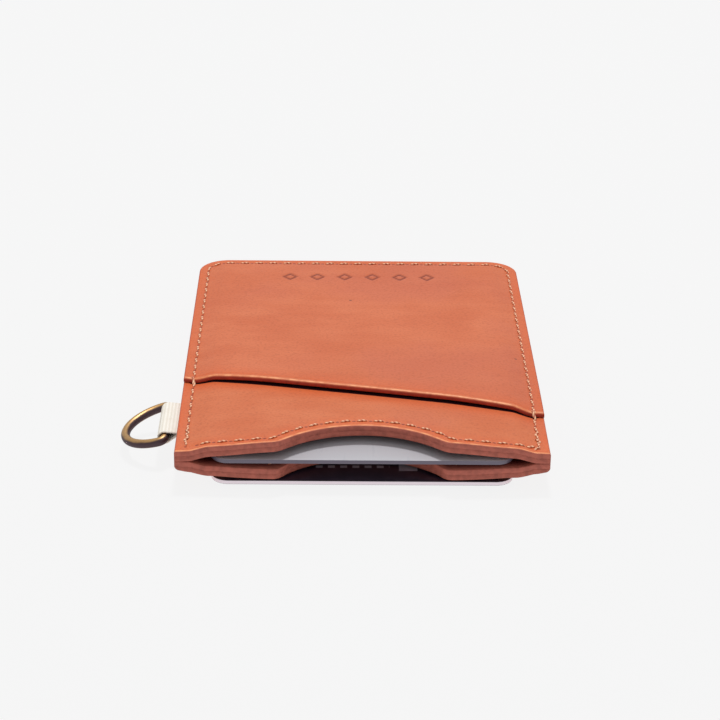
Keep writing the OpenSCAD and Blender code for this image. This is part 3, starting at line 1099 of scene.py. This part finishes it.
def dark_card(name):
    """Dark printed faces on a pale core; plain dashes and a block stand for the print."""
    f = Finish(name)
    low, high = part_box("back_card")
    z = f.axis("Z")
    core = (z - (low.z + CORE_IN)).over(0, CORE_SOFT) * (high.z - CORE_IN - z).over(0, CORE_SOFT)
    across = f.axis("X")
    along = f.axis("Y") - low.y
    dash = ((across / DASH_PITCH).math("FRACT") - 0.5).abs().over(0.3, 0.26)
    dashes = printed_box(across, along, DASHES_AT, DASHES_HALF) * dash
    block = printed_box(across, along, BLOCK_AT, BLOCK_HALF)
    base = f.mix(f.noise(500, 3.0).over(0.4, 0.7), colour(38, 28, 42), colour(48, 37, 50))
    base = f.mix((dashes + block).math("MINIMUM", 1.0) * 0.75, base, colour(176, 168, 178))
    base = f.mix(core, base, colour(244, 230, 237))
    return f.done(
        Base_Color=base, Roughness=0.34 + 0.2 * core, Normal=f.bump(f.noise(3500), 0.00001, 0.4)
    )


def studio_paper(name, shade, glow):
    """Matt paper that glows evenly, so that it stays white and the shadow on it faint."""
    f = Finish(name)
    return f.done(
        Base_Color=(shade, shade, shade, 1), Roughness=0.9, Emission_Color=(1, 1, 1, 1),
        Emission_Strength=glow, Specular_IOR_Level=0.0,
    )


# ---- the object ----

MAUVE = colour(180, 98, 82)
DUSKY = colour(187, 91, 63)
pocket_leather = leather(
    "pocket_leather", face=colour(197, 98, 56), wear_and_sheen=colour(207, 112, 71),
    warm=colour(207, 95, 44), dusky=DUSKY, cut=colour(168, 58, 38),
)
panel_leather = leather(
    "panel_leather", face=colour(199, 102, 59), wear_and_sheen=colour(209, 117, 74),
    warm=colour(212, 93, 42), dusky=DUSKY, cut=MAUVE,
)
lining_leather = leather(
    "lining_leather", face=colour(96, 36, 34), wear_and_sheen=colour(112, 46, 42),
    warm=colour(96, 36, 32), dusky=colour(90, 34, 32), cut=MAUVE,
)
sewing_thread = thread("sewing_thread")

make_front_pocket(pocket_leather)
make_front_panel(panel_leather)
make_front_lining(lining_leather)
make_back_lining(lining_leather)
make_back_panel(panel_leather)
make_back_pocket(pocket_leather)
make_side_seams(sewing_thread)
make_mouth_seams(sewing_thread)
make_ribbon(grosgrain("grosgrain"))
make_ring(antique_brass("antique_brass"))
slides = {joint["child"]: joint["axis"] for joint in frame["joints"]}
make_card("centre_card", slides["centre_card"], grey_card("grey_card"))
make_card("back_card", slides["back_card"], dark_card("dark_card"))


# ---- stage, light and camera ----

FLOOR_DROP = 0.00002    # the floor lies this far under the object, in metres
FLOOR_SHADE = 0.05
FLOOR_GLOW = 0.862
SKY_SHADE = (0.93, 0.93, 0.94, 1)
SKY_STRENGTH = 0.64
LAMP_SIZE = 0.1
LAMP_POWER = 5.45
LAMP_AT = (0.02, 0.26, 0.9)
CAMERA_AT = (-6.27, -404.15, 186.41)
CAMERA_TILT = radians(24.43)
CAMERA_TURN = radians(0.902)
CAMERA_ROLL = radians(0.767)
CAMERA_LENS = 112.15


def make_floor():
    bm = bmesh.new()
    bmesh.ops.create_grid(bm, x_segments=1, y_segments=1, size=3)
    floor = finished("floor", bm)
    floor.data.transform(Matrix.Translation((0, 0, cad_box[0][2] - FLOOR_DROP)))
    floor.data.materials.append(studio_paper("floor_white", FLOOR_SHADE, FLOOR_GLOW))


def make_light():
    """A square soft light high behind the object, turned to it."""
    light = bpy.data.lights.new("high_softbox", "AREA")
    light.shape = "SQUARE"
    light.size = LAMP_SIZE
    light.energy = LAMP_POWER
    lamp = bpy.data.objects.new("high_softbox", light)
    lamp.location = LAMP_AT
    lamp.rotation_euler = (-Vector(LAMP_AT)).to_track_quat("-Z", "Y").to_euler()
    bpy.context.scene.collection.objects.link(lamp)


def make_world():
    world = bpy.data.worlds.new("studio")
    world.use_nodes = True
    sky = world.node_tree.nodes["Background"]
    sky.inputs["Color"].default_value = SKY_SHADE
    sky.inputs["Strength"].default_value = SKY_STRENGTH
    bpy.context.scene.world = world


def make_camera():
    """A long lens in front of the mouth, looking down at the sleeve."""
    across = Vector((cos(CAMERA_TURN), -sin(CAMERA_TURN), 0))
    forward = Vector((
        sin(CAMERA_TURN) * cos(CAMERA_TILT), cos(CAMERA_TURN) * cos(CAMERA_TILT), -sin(CAMERA_TILT)
    ))
    upward = across.cross(forward)
    right = across * cos(CAMERA_ROLL) + upward * sin(CAMERA_ROLL)
    up = upward * cos(CAMERA_ROLL) - across * sin(CAMERA_ROLL)
    lens = bpy.data.cameras.new("camera")
    lens.sensor_width = 36
    lens.lens = CAMERA_LENS
    lens.clip_start = 0.01
    camera = bpy.data.objects.new("camera", lens)
    aim = Matrix((right, up, -forward)).transposed().to_4x4()
    camera.matrix_world = Matrix.Translation(Vector(CAMERA_AT) * MM) @ aim
    bpy.context.scene.collection.objects.link(camera)
    bpy.context.scene.camera = camera


make_floor()
make_world()
make_light()
make_camera()
bpy.context.scene.view_settings.view_transform = "Standard"
